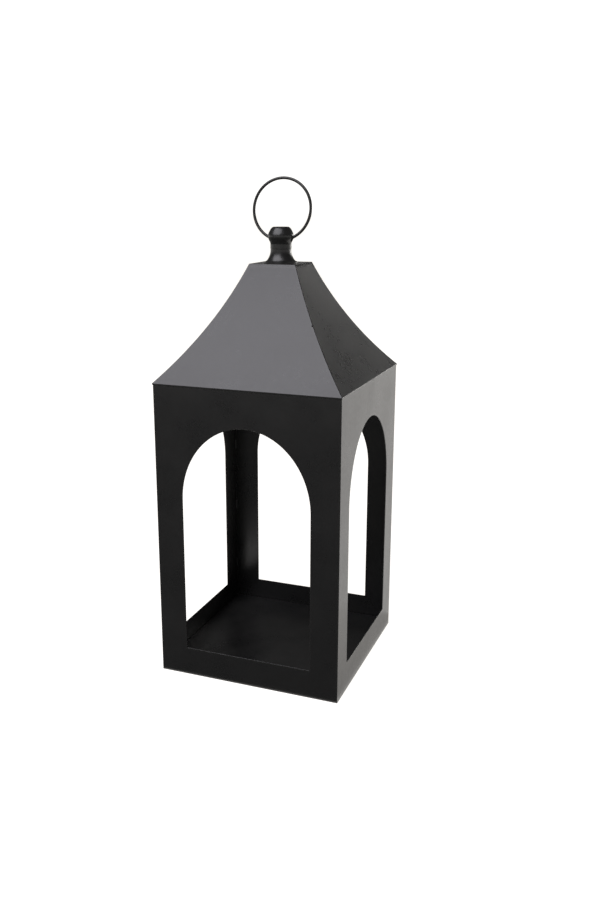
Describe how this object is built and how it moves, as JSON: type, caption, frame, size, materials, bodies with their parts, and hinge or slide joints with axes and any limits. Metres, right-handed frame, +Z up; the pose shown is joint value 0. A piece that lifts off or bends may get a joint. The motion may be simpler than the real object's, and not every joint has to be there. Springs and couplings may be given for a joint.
{
  "type": "arched metal lantern",
  "caption": "Square sheet-metal lantern with an arched opening in each side, a flat floor, a concave hipped roof and a turned finial with a swinging wire ring.",
  "frame": {"origin": "centre of the base, on the surface that the lantern stands on", "axes": "+Z up; the front face looks along -Y; +X to the right seen from the front; the ring's hinge runs along X"},
  "size_m": [0.2026, 0.2026, 0.5227],
  "materials": {
    "black_sheet": "satin black powder coat",
    "black_weld": "satin black powder coat over a weld bead",
    "black_finial": "satin black powder coat on turned steel",
    "black_ring": "satin black powder coat on wire",
    "zinc_plated": "bright zinc plate"
  },
  "bodies": {
    "lantern": {"front_panel": "black_sheet", "right_panel": "black_sheet", "back_panel": "black_sheet", "left_panel": "black_sheet", "floor_tray": "black_sheet", "roof_front": "black_sheet", "roof_right": "black_sheet", "roof_back": "black_sheet", "roof_left": "black_sheet", "roof_cap": "black_sheet", "corner_welds": "black_weld", "floor_welds": "black_weld", "hip_welds": "black_weld", "eave_welds": "black_weld", "cap_welds": "black_weld", "finial_foot": "black_finial", "finial_collar": "black_finial", "finial_head": "black_finial", "finial_screw": "zinc_plated", "finial_spring_washer": "zinc_plated", "finial_flat_washer": "zinc_plated"},
    "ring": {"hanging_ring": "black_ring"}
  },
  "joints": [
    {"name": "ring_swing", "type": "hinge", "parent": "lantern", "child": "ring", "pos_m": [0, 0, 0.4605], "axis": [1, 0, 0], "range_deg": [-128.5, 142]}
  ]
}
